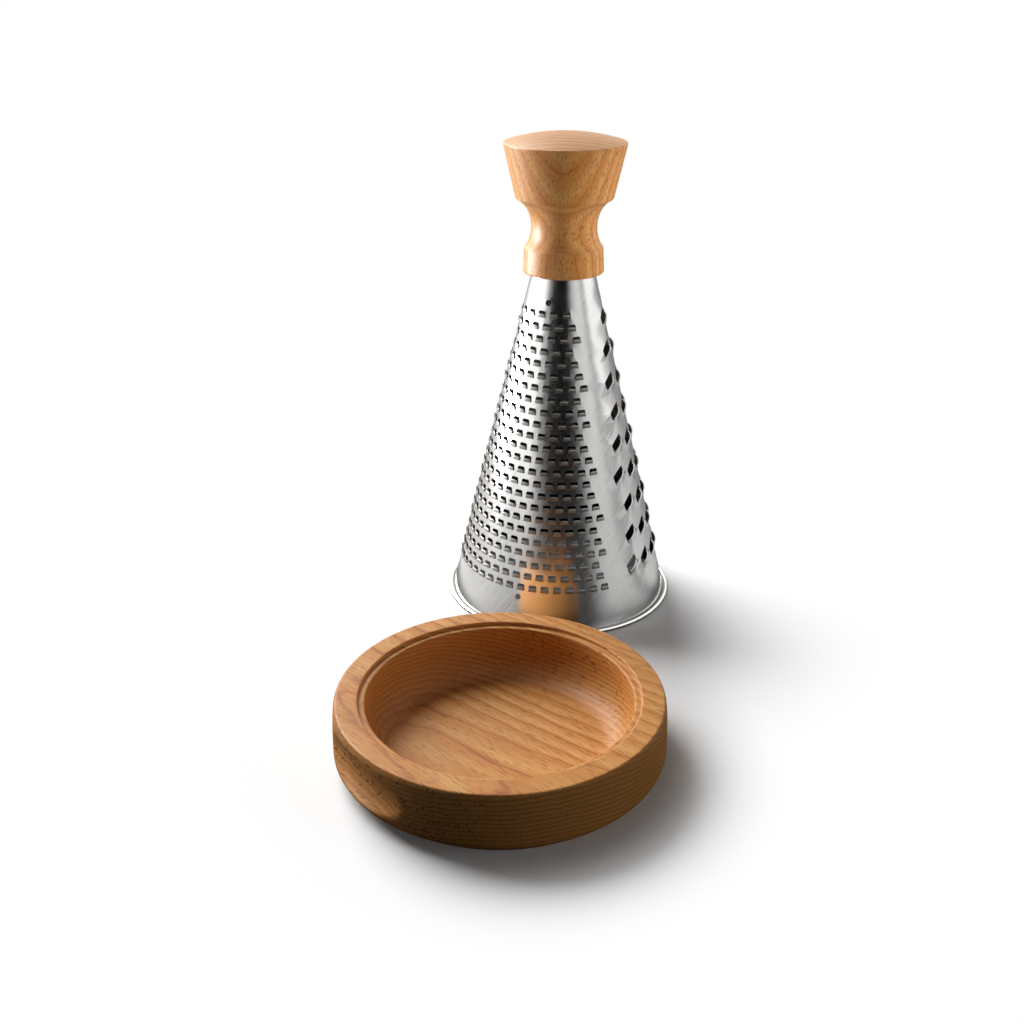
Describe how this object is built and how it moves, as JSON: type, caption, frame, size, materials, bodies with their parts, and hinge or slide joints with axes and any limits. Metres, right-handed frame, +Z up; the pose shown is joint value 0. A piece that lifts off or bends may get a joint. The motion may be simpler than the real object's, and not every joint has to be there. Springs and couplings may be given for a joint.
{
  "type": "table grater",
  "caption": "Cone-shaped steel table grater with fine and coarse teeth, a turned beech handle, and a beech bowl whose rebate seats the grater's rolled rim.",
  "frame": {"origin": "middle of the whole set's footprint, on the table", "axes": "+Z up; +Y from the bowl's centre to the grater's axis; +X to the right, seen from the bowl's side"},
  "size_m": [0.1534, 0.3137, 0.2565],
  "materials": {
    "grater_cone": "brushed stainless sheet",
    "top_cap": "plain stainless pressing",
    "cap_washer": "zinc plated",
    "handle_screw": "zinc plated",
    "handle": "oiled beech",
    "bowl": "oiled beech"
  },
  "bodies": {
    "bowl": {"bowl": "bowl"},
    "grater": {"grater_cone": "grater_cone", "top_cap": "top_cap", "cap_washer": "cap_washer", "handle_screw": "handle_screw", "handle": "handle"}
  },
  "joints": [
    {"name": "grater_lift", "type": "slide", "parent": "bowl", "child": "grater", "axis": [0, 0, 1], "range_m": [0, 0.12]}
  ]
}
